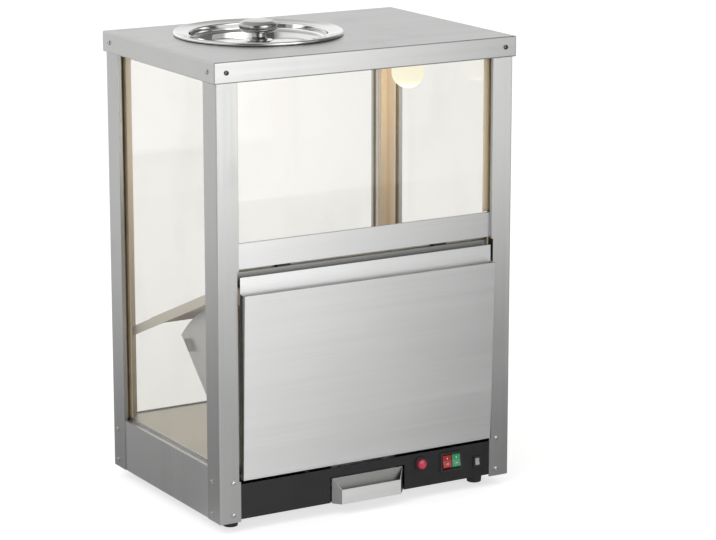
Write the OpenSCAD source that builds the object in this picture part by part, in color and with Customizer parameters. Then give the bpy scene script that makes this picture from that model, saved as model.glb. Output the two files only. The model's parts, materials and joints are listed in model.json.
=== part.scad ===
// Countertop chip warmer: a glazed steel cabinet with a fill port and lid on top,
// a sloping baffle inside, a tilt-out door below it and a warm-air unit in the base.
//
// The front faces -Y, the four feet stand on z = 0 and x = 0 is the middle.
// Inside the modules y runs back from the front face of the corner posts and z runs
// up from the bottom of the posts; in_cabinet() moves that frame to the part's own.

/* [Cabinet] */
// Width over the corner posts
body_w = 450; // [440:2:470]
// Depth over the corner posts
body_d = 318; // [310:2:330]
// Height from the bottom of the posts to the top of the cap
body_h = 612; // [606:1:630]
// Thickness of the folded steel sheet
sheet = 1.2; // [1:0.1:1.3]
// Width of a post's front or back flange beside the windows
flange_w = 31; // [30:0.5:32]
// Width of a front post's flange beside the door
door_flange_w = 28.5; // [28:0.1:28.6]
// Width of a post's side flange
side_flange_w = 35; // [34:0.5:36]
// Depth of the return that ends each flange
return_d = 5; // [5:0.5:5.5]
// Height of the side and back sills
sill_h = 71; // [70:0.5:72]

/* [Glazing] */
// Thickness of the window panes
glass_t = 4; // [3:0.5:4]
// Thickness of the seal on each face of a pane
seal_t = 1.5; // [1.5:0.1:1.6]

/* [Cap and lid] */
// How far the cap stands out beyond the posts
overhang = 3.5; // [3:0.5:4]
// Thickness of the cap's sheet
cap_t = 1.5; // [1.2:0.1:1.6]
// Height of the cap's skirt
cap_h = 28; // [26:1:30]
// Sideways place of the fill port's centre
port_x = -61; // [-70:1:-50]
// Place of the fill port's centre behind the front of the posts
port_y = 187; // [180:1:190]
// Inner radius of the fill port
port_r = 96; // [90:1:96]
// Depth of the fill port's collar below the cap's top
collar_d = 25; // [20:1:30]
// Outer radius of the lid
lid_r = 115; // [114:1:118]
// Depth of the lid's dished middle below the cap's top
dish_d = 10; // [8:0.5:12]
// Radius of the knob's head
knob_r = 26; // [22:1:28]
// Height of the knob above the dished middle
knob_h = 29; // [26:1:31]

/* [Door] */
// Width of the door
door_w = 385; // [384:0.5:385.4]
// Height of the door face's bottom edge
door_z0 = 57; // [57:0.5:58]
// Height of the door face's top edge
face_z1 = 307; // [300:1:309]
// Height of the door's top band
band_z1 = 329; // [326:1:331]
// How far the face stands out at its bottom
proud_bottom = 5; // [4:0.5:6]
// How far the face stands out at its top
proud_top = 13; // [11:0.5:14]
// Angle that the door tilts out to its stop
door_open = 40; // [30:1:40]

/* [Baffle] */
// Height of the baffle where it leaves the front
baffle_z0 = 312; // [308:1:316]
// Height of the baffle's back edge
baffle_z1 = 228; // [220:1:240]
// Place of the baffle's back edge
baffle_y1 = 225; // [215:1:235]

/* [Base and controls] */
// Height of the feet below the posts
foot_h = 15; // [12:1:18]
// Radius of the feet
foot_r = 11; // [9:1:13]
// Width of the tray pull at the fascia
pull_w = 111; // [106:1:112]
// Width of the tray pull's lip
lip_w = 92; // [88:1:96]
// Length of the crumb tray
tray_l = 248; // [220:2:250]
// Place of the pilot lamp across the fascia
pilot_x = 84; // [80:1:88]
// Height of the pilot lamp
pilot_z = 36; // [32:1:38]
// Place of the twin switch across the fascia
twin_x = 132; // [128:1:136]
// Height of the twin switch
twin_z = 32; // [30:1:34]
// Place of the small switch across the fascia
small_x = 174; // [170:1:178]
// Height of the small switch
small_z = 25; // [22:1:30]
// Angle between the two stops of a rocker
rocker_swing = 20; // [16:1:22]

/* [Hidden] */

$fn = 48;
eps = 0.5;

// Screws: pan heads on shanks with 0.1 of clearance in their holes
screw_r = 1.9;
screw_hole_r = 2.0;
head_r = 3.2;
head_h = 2;

// The frame's origin is under the middle of the part's whole box
front_y = -(body_d + overhang + head_h - proud_top) / 2;

half_w = body_w / 2;
cap_z = body_h - cap_t;
glass_top = body_h - 7;
inner = return_d + 2 * seal_t + glass_t;
bend_r = 2;
fold = 2 * sheet;
sill_ledge = 27;
upstand_h = 3;
floor_z = sill_h;
fascia_z0 = 3;
fascia_z1 = 51;
ear_x = half_w - 24;
ear_z1 = 60;
pan_z = 3;
pan_top = pan_z + sheet;
rail_z0 = 339;
rail_z1 = 373;
rail_shelf = 366;
rail_back = 21;
port_flange_w = 13;
notch_z0 = 55;
notch_z1 = 337;
liner_tip = 30.5;
window_tip = 38;
liner_leg = 36;

// Screw places: across and up on the front and back, back and up on the sides
frame_z = [10, 54];
frame_x = half_w - 20;
front_side_y = 22;
back_side_y = body_d - 14;
cap_screw_z = body_h - cap_h / 2;
cap_screw_x = half_w - 14;
cap_screw_y = 17;

// Door hinge: the axis runs along X
hinge_y = 6;
hinge_z = 61;
hinge_pin_r = 2.5;
hinge_bore_r = 2.55;
bush_r = 4;
ear_r = 5.8;
door_half = door_w / 2;
pan_z0 = 58.5;
channel_z = 314;
channel_y = 12;
channel_top = 334;
cheek_r = 225;
stop_r = [190, 210];
stop_gap = 0.4;
stop_angle = door_open + asin((inner + sheet + stop_gap - hinge_y) / stop_r[0]);
cheek_angle = door_open + 6.5;
stop_reach = 6.5;

baffle_y0 = rail_back;
baffle_slope = atan((baffle_z0 - baffle_z1) / (baffle_y1 - baffle_y0 - sheet));
baffle_l = (baffle_y1 - baffle_y0 - sheet) / cos(baffle_slope);
rail_x = half_w - inner - 11.5;

tray_half = 52;
tray_h = 20;
pull_top = 37;
lip_top = 22;
pull_z0 = 1.8;
lip_out = 9.2;
cut_half = 58;
cut_top = 38.5;
chute_half = 50;
chute_y = [14, 240];
chute_z0 = 26;

fan_x = 130;
fan_y = 200;
fan_half = 60;
fan_h = 38;
fan_bore_r = 57;
fan_tip_r = 54.5;
fan_hub_r = 23;
motor_r = 18.5;
shaft_r = 2.5;
shaft_bore_r = 2.55;
fan_z = pan_top;
blades = 7;
strut_h = 4;
element_r = 4;
element_pitch = 22;
element_z = 55;
element_half = 40;

lamp_x = 158;
lamp_y = 160;
bulb_r = 22.5;
bulb_z0 = 524;
lamp_cap_r = 7;
lamp_holder_r = 14.5;
conduit_x = 189;
conduit_y = 288;
conduit_r = 3;
conduit_z0 = 58;
conduit_z = 601;

inlet_x = -150;
inlet_z = 36;

module in_cabinet() translate([0, front_y, foot_h]) children();

// A box between two x, two y and two z values
module block(x, y, z) translate([x[0], y[0], z[0]]) cube([x[1] - x[0], y[1] - y[0], z[1] - z[0]]);

// Two copies, on the right and mirrored on the left
module both_sides() {
    children();
    mirror([1, 0, 0]) children();
}

// The back half of the cabinet mirrors its front half
module from_back() translate([0, body_d, 0]) mirror([0, 1, 0]) children();

// Cylinders along X and Y that start at x and y and run for h
module rod_x(x, y, z, r, h) translate([x, y, z]) rotate([0, 90, 0]) cylinder(r = r, h = h);
module rod_y(x, y, z, r, h) translate([x, y, z]) rotate([-90, 0, 0]) cylinder(r = r, h = h);
module rod_z(x, y, z, r, h) translate([x, y, z]) cylinder(r = r, h = h);

// A side view swept along X: its own x is the cabinet's y and its own y is the cabinet's z
module side_view(x0, t) translate([x0, 0, 0]) rotate([90, 0, 90]) linear_extrude(t) children();

// Holes for the frame screws and the cap screws
module front_holes(y, h) for (s = [-1, 1], z = frame_z) rod_y(s * frame_x, y, z, screw_hole_r, h);
module side_holes(x, h) for (y = [front_side_y, back_side_y], z = frame_z) rod_x(x, y, z, screw_hole_r, h);
module cap_holes() {
    out = overhang + 1;
    for (s = [-1, 1]) rod_y(s * cap_screw_x, -out, cap_screw_z, screw_hole_r, body_d + 2 * out);
    for (y = [cap_screw_y, body_d - cap_screw_y])
        rod_x(-half_w - out, y, cap_screw_z, screw_hole_r, body_w + 2 * out);
}

// Corner posts

// Outline of the right-angled post with its outer bend at the origin
module post_outline(w) {
    translate([bend_r, 0]) square([w - bend_r, sheet]);
    translate([0, bend_r]) square([sheet, side_flange_w - bend_r]);
    intersection() {
        translate([bend_r, bend_r]) difference() {
            circle(bend_r);
            circle(bend_r - sheet);
        }
        square(bend_r);
    }
}

// A post in its own corner: the front or back flange lies along x, the side flange along y
module post(by_door) {
    narrow = by_door ? door_flange_w : flange_w;
    linear_extrude(cap_z) post_outline(narrow);
    block([0, return_d], [side_flange_w - sheet, side_flange_w], [sill_h, cap_z]);
    if (by_door) {
        block([narrow - eps, flange_w], [0, sheet], [0, notch_z0]);
        block([narrow - eps, flange_w], [0, sheet], [notch_z1, cap_z]);
        // Deeper beside the door, where it carries the hinge pin
        block([narrow - sheet, narrow], [0, inner], [notch_z0, notch_z1]);
        block([flange_w - sheet, flange_w], [0, return_d], [notch_z1, cap_z]);
    } else {
        block([flange_w - sheet, flange_w], [0, return_d], [sill_h, cap_z]);
    }
}

// The left post's place; mirroring gives the right one
module placed_post(by_door, side_y) {
    in_cabinet() difference() {
        translate([-half_w, 0, 0]) post(by_door);
        front_holes(-eps, fold);
        for (z = frame_z) rod_x(-half_w - eps, side_y, z, screw_hole_r, fold);
        cap_holes();
        if (by_door) rod_x(-half_w + flange_w / 2, hinge_y, hinge_z, hinge_pin_r, flange_w);
    }
}

module back_post_left() {
    translate([0, 2 * front_y + body_d, 0]) mirror([0, 1, 0]) placed_post(false, body_d - back_side_y);
}

module post_front_left() color([0.72, 0.72, 0.72]) placed_post(true, front_side_y);
module post_front_right() color([0.72, 0.72, 0.72]) mirror([1, 0, 0]) placed_post(true, front_side_y);
module post_back_left() color([0.7, 0.7, 0.7]) back_post_left();
module post_back_right() color([0.7, 0.7, 0.7]) mirror([1, 0, 0]) back_post_left();

// Inner corner angle that backs the seals and stops the door's cheeks
module liner() {
    z = [floor_z + sheet, cap_z];
    block([-half_w + inner, -half_w + liner_tip], [inner, inner + sheet], z);
    block([-half_w + inner, -half_w + inner + sheet], [inner, liner_leg], z);
}
// The front ones are wider beside the window
module front_liner() {
    liner();
    block([-half_w + liner_tip - eps, -half_w + window_tip], [inner, inner + sheet], [rail_z1, cap_z]);
}
module liner_front_left() color([0.66, 0.65, 0.62]) in_cabinet() front_liner();
module liner_front_right() color([0.66, 0.65, 0.62]) in_cabinet() mirror([1, 0, 0]) front_liner();
module liner_back_left() color([0.68, 0.62, 0.5]) in_cabinet() from_back() liner();
module liner_back_right() color([0.68, 0.62, 0.5]) in_cabinet() from_back() mirror([1, 0, 0]) liner();

// Cap, fill port and lid

module cap() color([0.78, 0.78, 0.77]) in_cabinet() {
    x = half_w + overhang;
    y = [-overhang, body_d + overhang];
    difference() {
        block([-x, x], y, [body_h - cap_h, body_h]);
        block([-x + cap_t, x - cap_t], [y[0] + cap_t, y[1] - cap_t], [body_h - cap_h + 8, cap_z]);
        block([-half_w, half_w], [0, body_d], [body_h - cap_h - eps, body_h - cap_h + 9]);
        rod_z(port_x, port_y, cap_z - eps, port_r + sheet, cap_t + 2 * eps);
        cap_holes();
    }
}

module fill_port() color([0.75, 0.75, 0.75]) in_cabinet() translate([port_x, port_y, body_h])
rotate_extrude($fn = 96) {
    translate([port_r, -collar_d]) square([sheet, collar_d + sheet]);
    translate([port_r, 0]) square([port_flange_w, sheet]);
    translate([port_r + sheet / 2, -collar_d]) circle(sheet, $fn = 24);
}

// The lid rests on the port's flange and its dish drops into the collar
module lid() color([0.85, 0.85, 0.84]) in_cabinet() translate([port_x, port_y, body_h]) {
    wall_r = port_r - 1.5;
    bead_r = 2.4;
    difference() {
        rotate_extrude($fn = 96) {
            translate([wall_r - sheet, sheet]) square([lid_r - bead_r - wall_r + sheet, sheet]);
            translate([lid_r - bead_r, bead_r + 0.3]) circle(bead_r, $fn = 32);
            translate([wall_r - sheet, -dish_d]) square([sheet, dish_d + 2 * sheet]);
            translate([0, -dish_d]) square([wall_r, sheet]);
            // Raised step round the knob
            translate([0, -dish_d]) square([knob_r - 6, 2 * sheet]);
        }
        rod_z(0, 0, -dish_d - eps, 2.7, 4);
    }
}

module lid_knob() color([0.6, 0.6, 0.6]) in_cabinet()
translate([port_x, port_y, body_h - dish_d + 2 * sheet]) difference() {
    neck_r = 10.5;
    neck_h = 10.6;
    head_edge = 4;
    head_top = knob_h - 2 * sheet;
    rotate_extrude($fn = 64) {
        square([neck_r, neck_h + 1]);
        translate([0, neck_h]) square([knob_r - head_edge, head_top - neck_h]);
        translate([0, neck_h + head_edge]) square([knob_r, head_top - neck_h - 2 * head_edge]);
        for (z = [neck_h + head_edge, head_top - head_edge])
            translate([knob_r - head_edge, z]) circle(head_edge, $fn = 32);
    }
    rod_z(0, 0, -eps, 2.5, 16);
}

module lid_knob_screw() color([0.55, 0.55, 0.55]) in_cabinet()
translate([port_x, port_y, body_h - dish_d]) {
    rod_z(0, 0, -1, 9, 1);
    rod_z(0, 0, -4, 4.5, 3);
    rod_z(0, 0, -1, 2.45, 16);
}

// Windows

glass_in = return_d + seal_t;
module window_front() color([0.8, 0.9, 0.92, 0.25]) in_cabinet()
block([-half_w + inner, half_w - inner], [glass_in, glass_in + glass_t], [rail_shelf, glass_top]);
module window_back() color([0.8, 0.9, 0.92, 0.25]) in_cabinet() from_back()
block([-half_w + inner, half_w - inner], [glass_in, glass_in + glass_t], [sill_h, glass_top]);
module side_pane() block([-half_w + glass_in, -half_w + glass_in + glass_t],
    [inner + 3.5, body_d - inner - 3.5], [sill_h, glass_top]);
module window_left() color([0.8, 0.9, 0.92, 0.25]) in_cabinet() side_pane();
module window_right() color([0.8, 0.9, 0.92, 0.25]) in_cabinet() mirror([1, 0, 0]) side_pane();

// U-shaped seals on the upright edges of the panes; they end just behind the flanges' edges
seal_top = body_h - 14;
seal_end = 0.5;
module front_seal(z0) difference() {
    block([-half_w + inner - 2, -half_w + flange_w - seal_end], [return_d, inner], [z0, seal_top]);
    block([-half_w + inner - 0.5, half_w], [glass_in, glass_in + glass_t], [z0 - eps, seal_top + eps]);
}
module side_seal() difference() {
    block([-half_w + return_d, -half_w + inner], [inner + 2, side_flange_w - seal_end],
        [sill_h + upstand_h, seal_top]);
    block([-half_w + glass_in, -half_w + glass_in + glass_t], [inner + 3.5, body_d / 2],
        [sill_h, seal_top + eps]);
}
module window_seals() color([0.12, 0.12, 0.12]) in_cabinet() both_sides() {
    front_seal(rail_z1);
    side_seal();
    from_back() {
        front_seal(sill_h + upstand_h);
        side_seal();
    }
}

// Channels under the cap that hold the top edges of the panes
module channel_across() difference() {
    block([-half_w + inner - 2, half_w - inner + 2], [return_d, inner], [seal_top, cap_z]);
    block([-half_w, half_w], [glass_in, glass_in + glass_t], [seal_top - eps, glass_top]);
}
module channel_along() difference() {
    block([-half_w + return_d, -half_w + inner], [inner + 2, body_d - inner - 2], [seal_top, cap_z]);
    block([-half_w + glass_in, -half_w + glass_in + glass_t], [0, body_d], [seal_top - eps, glass_top]);
}
module top_channels() color([0.6, 0.6, 0.6]) in_cabinet() {
    channel_across();
    from_back() channel_across();
    both_sides() channel_along();
}

// Rail under the front window
module front_rail() color([0.76, 0.76, 0.76]) in_cabinet() {
    x = [-half_w + inner - 2, half_w - inner + 2];
    between_liners = half_w - liner_tip - 0.5;
    back_x = [-between_liners, between_liners];
    block(x, [return_d, return_d + sheet], [rail_z0, rail_z1]);
    block(x, [inner - sheet, inner], [rail_shelf - sheet, rail_z1 - 1]);
    for (z = [rail_z0, rail_shelf - sheet]) {
        block(x, [return_d, inner], [z, z + sheet]);
        block(back_x, [inner - eps, rail_back], [z, z + sheet]);
    }
    block(back_x, [rail_back - sheet, rail_back], [rail_z0, rail_shelf]);
}

// Base

module sill() difference() {
    union() {
        block([-half_w + sheet, -half_w + fold], [bend_r, body_d - bend_r], [0, sill_h]);
        block([-half_w + sheet, -half_w + sill_ledge], [fold, body_d - fold], [sill_h - sheet, sill_h]);
        block([-half_w + inner - sheet, -half_w + inner], [inner + 3.5, body_d - inner - 3.5],
            [sill_h - eps, sill_h + upstand_h]);
    }
    side_holes(-half_w, 2 * fold);
}
module sill_left() color([0.6, 0.6, 0.6]) in_cabinet() sill();
module sill_right() color([0.6, 0.6, 0.6]) in_cabinet() mirror([1, 0, 0]) sill();

module back_panel() color([0.62, 0.62, 0.62]) in_cabinet() difference() {
    ledge_x = half_w - sill_ledge - 0.2;
    from_back() {
        block([-half_w + fold, half_w - fold], [sheet, fold], [0, sill_h]);
        block([-ledge_x, ledge_x], [sheet, sill_ledge - 1], [sill_h - sheet, sill_h]);
        block([-ledge_x, ledge_x], [inner - sheet, inner], [sill_h - eps, sill_h + upstand_h]);
    }
    front_holes(body_d - 2 * fold, 2 * fold);
    block([inlet_x - 14.2, inlet_x + 14.2], [body_d - 2 * fold, body_d], [inlet_z - 10.2, inlet_z + 10.2]);
}

// Black control panel across the front of the base; its ears are screwed to the posts
module fascia() color([0.09, 0.09, 0.1]) in_cabinet() difference() {
    union() {
        block([-half_w + fold, half_w - fold], [sheet, fold], [fascia_z0, fascia_z1]);
        both_sides() block([ear_x, half_w - fold], [sheet, fold], [fascia_z0, ear_z1]);
    }
    front_holes(0, 2 * fold);
    block([-cut_half, cut_half], [0, 2 * fold], [0, cut_top]);
    rod_y(pilot_x, 0, pilot_z, 8, 2 * fold);
    block([twin_x - twin_open_w / 2, twin_x + twin_open_w / 2], [0, 2 * fold],
        [twin_z - twin_open_h / 2, twin_z + twin_open_h / 2]);
    block([small_x - small_open_w / 2, small_x + small_open_w / 2], [0, 2 * fold],
        [small_z - small_open_h / 2, small_z + small_open_h / 2]);
}

foot_x = half_w - 33;
foot_y = [35, body_d - 35];
module at_feet() for (s = [-1, 1], y = foot_y) translate([s * foot_x, y, 0]) children();

module base_pan() color([0.55, 0.55, 0.55]) in_cabinet() difference() {
    block([-half_w + fold, half_w - fold], [fold, body_d - fold], [pan_z, pan_top]);
    at_feet() rod_z(0, 0, 0, 2.6, 10);
    // Air intake under the fan
    for (i = [-4:4]) block([fan_x + i * 11 - 2.5, fan_x + i * 11 + 2.5], [fan_y - 40, fan_y + 40], [0, 10]);
}

module feet() color([0.06, 0.06, 0.06]) in_cabinet() at_feet() difference() {
    translate([0, 0, -foot_h]) cylinder(r1 = foot_r - 1, r2 = foot_r, h = foot_h + pan_z);
    rod_z(0, 0, -foot_h - 1, 2.6, foot_h + pan_z + 2);
    rod_z(0, 0, -foot_h - 1, 5.5, 9);
}
module foot_screws() color([0.5, 0.5, 0.5]) in_cabinet() at_feet() {
    rod_z(0, 0, -foot_h + 4.5, 5, 3.5);
    rod_z(0, 0, -foot_h + 8, 2.5, 16);
    translate([0, 0, pan_top]) cylinder(r = 4.5, h = 3.5, $fn = 6);
}

// Perforated floor of the bins: crumb slots over the tray, vent slots over the heater
module floor_panel() color([0.7, 0.7, 0.7]) in_cabinet() difference() {
    lip_half = door_half - 6;
    union() {
        block([-half_w + inner + 0.5, half_w - inner - 0.5], [2.8, body_d - inner - 0.5],
            [floor_z, floor_z + sheet]);
        block([-lip_half, lip_half], [2.8, 2.8 + sheet], [floor_z - 8, floor_z + sheet]);
    }
    both_sides() block([lip_half, half_w], [0, 21.5], [floor_z - 10, floor_z + 5]);
    for (i = [-3:3], j = [0:7])
        block([i * 13 - 2, i * 13 + 2], [24 + j * 26, 44 + j * 26], [floor_z - eps, floor_z + 5]);
    for (i = [-4:4], j = [0:3])
        block([fan_x + i * 12 - 2, fan_x + i * 12 + 2], [fan_y - 50 + j * 26, fan_y - 30 + j * 26],
            [floor_z - eps, floor_z + 5]);
    rod_z(conduit_x, conduit_y, floor_z - 1, conduit_r + 0.2, 5);
}

// Baffle

module on_slope() translate([0, baffle_y0 + sheet, baffle_z0]) rotate([-baffle_slope, 0, 0]) children();

// A point s down the slope and n above the sheet's lower face, in the side view
function slope_point(s, n) = [
    baffle_y0 + sheet + s * cos(baffle_slope) + n * sin(baffle_slope),
    baffle_z0 - s * sin(baffle_slope) + n * cos(baffle_slope)];

module baffle() color([0.76, 0.74, 0.7]) in_cabinet() {
    half = half_w - inner - 2;
    flange_top = rail_shelf - 6;
    side_view(-half, 2 * half) polygon([
        [baffle_y0, flange_top], [baffle_y0 + sheet, flange_top],
        [baffle_y0 + sheet, baffle_z0 + sheet / cos(baffle_slope)], slope_point(baffle_l, sheet),
        slope_point(baffle_l, 0), [baffle_y0, baffle_z0 + sheet * tan(baffle_slope)]]);
    // Stiffening lip along the back edge, between the rails
    on_slope() block([-rail_x, rail_x], [baffle_l - 2 * sheet, baffle_l - sheet], [-8, sheet / 2]);
}

// Angles welded to the corner liners, under the baffle's sides
module baffle_rails() color([0.6, 0.6, 0.58]) in_cabinet() on_slope() both_sides() {
    x = half_w - inner - sheet;
    y = [6, (body_d - inner - 9 - baffle_y0) / cos(baffle_slope)];
    block([rail_x + 1, x], y, [-sheet, 0]);
    block([x - sheet, x], y, [-12, 0]);
}

// Door

module door_skin() color([0.82, 0.82, 0.82]) in_cabinet() {
    face = [[-proud_bottom, door_z0], [-proud_top, face_z1], [-proud_top + sheet, face_z1],
        [-proud_bottom + sheet, door_z0]];
    end = [[-proud_bottom, door_z0], [-proud_top, face_z1], [0, face_z1], [0, door_z0]];
    side_view(-door_half, door_w) polygon(face);
    side_view(-door_half, sheet) polygon(end);
    side_view(door_half - sheet, sheet) polygon(end);
    block([-door_half, door_half], [-proud_bottom, 0], [door_z0, door_z0 + sheet]);
}

// Cheek that closes the gap beside the tilted door, seen from its hinge axis
module cheek_outline() {
    back = cheek_r * 1.5;
    difference() {
        union() {
            intersection() {
                circle(cheek_r, $fn = 96);
                polygon([[sheet - hinge_y, 0], [sheet - hinge_y, back],
                    [back * sin(cheek_angle), back * cos(cheek_angle)], [0, 0]]);
            }
            translate([sheet - hinge_y, pan_z0 - hinge_z]) square([hinge_y, 12]);
            circle(ear_r, $fn = 32);
        }
        circle(bush_r, $fn = 32);
    }
}

module cheek() {
    translate([0, hinge_y, hinge_z]) side_view(door_half - sheet, sheet) cheek_outline();
    // Folded tab that meets the liner when the door is fully open
    translate([0, hinge_y, hinge_z]) rotate([-stop_angle, 0, 0])
        block([door_half - sheet, door_half + stop_reach], [0, sheet], stop_r);
}

module door_pan() color([0.78, 0.78, 0.78]) in_cabinet() {
    x = [-door_half, door_half];
    block(x, [0, sheet], [pan_z0, band_z1]);
    // Finger channel behind the top band
    block(x, [0, channel_y + sheet], [channel_z, channel_z + sheet]);
    block(x, [channel_y, channel_y + sheet], [channel_z, channel_top]);
    both_sides() cheek();
}

module hinge_bushes() color([0.85, 0.85, 0.8]) in_cabinet() both_sides() difference() {
    union() {
        rod_x(door_half - sheet - 1, hinge_y, hinge_z, bush_r - 0.02, sheet + 2);
        rod_x(door_half - sheet - 2, hinge_y, hinge_z, hinge_y - sheet - 0.1, 2);
    }
    rod_x(door_half - 5, hinge_y, hinge_z, hinge_bore_r, 10);
}

module hinge_pins() color([0.5, 0.5, 0.5]) in_cabinet() both_sides() {
    rod_x(door_half - 4.5, hinge_y, hinge_z, hinge_pin_r, half_w - door_flange_w + sheet - door_half + 4.5);
    rod_x(half_w - door_flange_w + sheet, hinge_y, hinge_z, 4.5, 2);
}

module door_magnets() color([0.2, 0.2, 0.2]) in_cabinet() both_sides()
block([110, 130], [channel_y + sheet + 0.3, rail_back], [rail_z0 - 9, rail_z0]);

// Crumb tray

module crumb_tray() color([0.72, 0.72, 0.72]) in_cabinet() difference() {
    block([-tray_half, tray_half], [2, 2 + tray_l], [pan_top, pan_top + tray_h]);
    block([-tray_half + sheet, tray_half - sheet], [2 + sheet, 2 + tray_l - sheet],
        [pan_top + sheet, pan_top + tray_h + 1]);
}

// Scoop-shaped pull: its ends slant in to a lip that is lower than its back
module pull_plan(inset) polygon([
    [-pull_w / 2 + inset, 2 - inset], [pull_w / 2 - inset, 2 - inset],
    [lip_w / 2 - inset, -lip_out + inset], [-lip_w / 2 + inset, -lip_out + inset]]);
module tray_pull() color([0.8, 0.8, 0.8]) in_cabinet() difference() {
    translate([0, 0, pull_z0]) linear_extrude(pull_top - pull_z0) pull_plan(0);
    translate([0, 0, pull_z0 + sheet]) linear_extrude(pull_top) pull_plan(sheet);
    side_view(-pull_w, 2 * pull_w) polygon([[-lip_out - 1, lip_top], [-lip_out + sheet, lip_top],
        [2 - sheet, pull_top], [2 - sheet, pull_top + 5], [-lip_out - 1, pull_top + 5]]);
}

module tray_guides() color([0.6, 0.6, 0.6]) in_cabinet() both_sides() {
    y = [6, tray_l - 4];
    block([tray_half + 1, tray_half + 1 + sheet], y, [pan_top, 19]);
    block([tray_half + 1, tray_half + 12], y, [pan_top, pan_top + sheet]);
}

// Skirt under the crumb slots that leads down into the tray
module crumb_chute() color([0.65, 0.65, 0.65]) in_cabinet() difference() {
    block([-chute_half, chute_half], chute_y, [chute_z0, floor_z]);
    block([-chute_half + sheet, chute_half - sheet], [chute_y[0] + sheet, chute_y[1] - sheet],
        [chute_z0 - 1, floor_z + 1]);
}

// Warm-air unit

module fan_frame() color([0.1, 0.1, 0.1]) in_cabinet() translate([fan_x, fan_y, fan_z]) {
    difference() {
        block([-fan_half, fan_half], [-fan_half, fan_half], [0, fan_h]);
        rod_z(0, 0, -1, fan_bore_r, fan_h + 2);
        for (sx = [-1, 1], sy = [-1, 1]) rod_z(sx * 52.5, sy * 52.5, -1, 2.2, fan_h + 2);
    }
    rod_z(0, 0, 0, motor_r, strut_h);
    for (a = [45:90:315]) rotate([0, 0, a]) block([motor_r - 2, fan_bore_r + 2], [-2, 2], [0, strut_h]);
}

module fan_motor() color([0.3, 0.3, 0.32]) in_cabinet() translate([fan_x, fan_y, fan_z]) difference() {
    rod_z(0, 0, strut_h, motor_r, 22);
    rod_z(0, 0, strut_h + 3, shaft_bore_r, 25);
}

module fan_wheel() color([0.12, 0.12, 0.13]) in_cabinet() translate([fan_x, fan_y, fan_z]) {
    hub = [strut_h + 3, fan_h - 2];
    difference() {
        rod_z(0, 0, hub[0], fan_hub_r, hub[1] - hub[0]);
        rod_z(0, 0, hub[0] - 1, fan_hub_r - 3, hub[1] - hub[0] - 1.5);
    }
    rod_z(0, 0, hub[0] + 1, shaft_r, hub[1] - hub[0] - 1.5);
    intersection() {
        for (i = [0:blades - 1]) rotate([0, 0, i * 360 / blades])
            translate([38.5, 0, (hub[0] + hub[1]) / 2]) rotate([35, 0, 0])
                cube([36, 34, 1.8], center = true);
        difference() {
            rod_z(0, 0, hub[0] + 1, fan_tip_r, hub[1] - hub[0] - 2);
            rod_z(0, 0, hub[0], fan_hub_r - 1, hub[1] - hub[0]);
        }
    }
}

module air_duct() color([0.66, 0.66, 0.66]) in_cabinet() difference() {
    x = [fan_x - fan_half, fan_x + fan_half];
    y = [fan_y - fan_half, fan_y + fan_half];
    z = [fan_z + fan_h, floor_z];
    block(x, y, z);
    block([x[0] + sheet, x[1] - sheet], [y[0] + sheet, y[1] - sheet], [z[0] - 1, z[1] + 1]);
    for (s = [-1.5, 1.5]) rod_x(x[0] - 1, fan_y + s * element_pitch, element_z, element_r + 0.1, 5);
}

// Serpentine tubular element: four runs and three half-round bends
module element_bend(s) translate([s * element_half, 0, 0]) rotate([0, 0, s > 0 ? -90 : 90])
rotate_extrude(angle = 180) translate([element_pitch / 2, 0]) circle(element_r, $fn = 24);
module heater_element() color([0.35, 0.3, 0.28]) in_cabinet() translate([fan_x, fan_y, element_z]) {
    for (k = [-1.5:1.5]) {
        out = abs(k) > 1 ? fan_half - element_half + 14 : 0;
        rod_x(-element_half - out, k * element_pitch, 0, element_r, 2 * element_half + out);
    }
    for (k = [-1, 1]) translate([0, k * element_pitch, 0]) element_bend(1);
    element_bend(-1);
}

module thermostat() color([0.85, 0.83, 0.78]) in_cabinet() {
    x = fan_x - fan_half;
    rod_x(x - 8, fan_y, element_z, 9, 8);
    for (s = [-4, 4]) translate([0, fan_y + s, element_z]) block([x - 16, x - 8], [-2, 2], [-0.5, 0.5]);
}

module terminal_block() color([0.9, 0.9, 0.86]) in_cabinet() difference() {
    block([-150, -90], [200, 222], [pan_top, pan_top + 18]);
    for (i = [0:5]) rod_z(-145 + i * 10, 211, pan_top + 8, 2.5, 12);
    for (i = [0:5], s = [-1, 1]) rod_y(-145 + i * 10, 211 + s * 8 - 4, pan_top + 6, 2, 8);
}

// Appliance inlet on the back
module power_inlet() color([0.07, 0.07, 0.07]) in_cabinet() translate([inlet_x, body_d - sheet, inlet_z]) {
    difference() {
        union() {
            block([-24, 24], [0, 2.5], [-12, 12]);
            block([-14, 14], [-18, 0.5], [-10, 10]);
        }
        block([-12, 12], [-15, 3], [-8, 8]);
    }
    for (p = [[-6, -1], [6, -1], [0, 3]]) block([p[0] - 1, p[0] + 1], [-16, -2], [p[1] - 2, p[1] + 2]);
}

// Lamp

module lamp_holder() color([0.9, 0.9, 0.88]) in_cabinet() translate([lamp_x, lamp_y, cap_z]) difference() {
    union() {
        rod_z(0, 0, -2, 20, 2);
        rod_z(0, 0, -28, lamp_holder_r, 27);
    }
    rod_z(0, 0, -29, lamp_cap_r + 0.3, 24);
}

module lamp_cap() color([0.75, 0.72, 0.6]) in_cabinet()
rod_z(lamp_x, lamp_y, cap_z - 36, lamp_cap_r, 30);

// Globe with a neck that meets the lamp's metal cap
module lamp_bulb() color([1, 0.93, 0.7]) in_cabinet() translate([lamp_x, lamp_y, bulb_z0 + bulb_r])
rotate_extrude($fn = 64) intersection() {
    union() {
        circle(bulb_r, $fn = 64);
        square([lamp_cap_r + 2, cap_z - 36 - bulb_z0 - bulb_r]);
    }
    translate([0, -bulb_r]) square([bulb_r, 100]);
}

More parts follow.
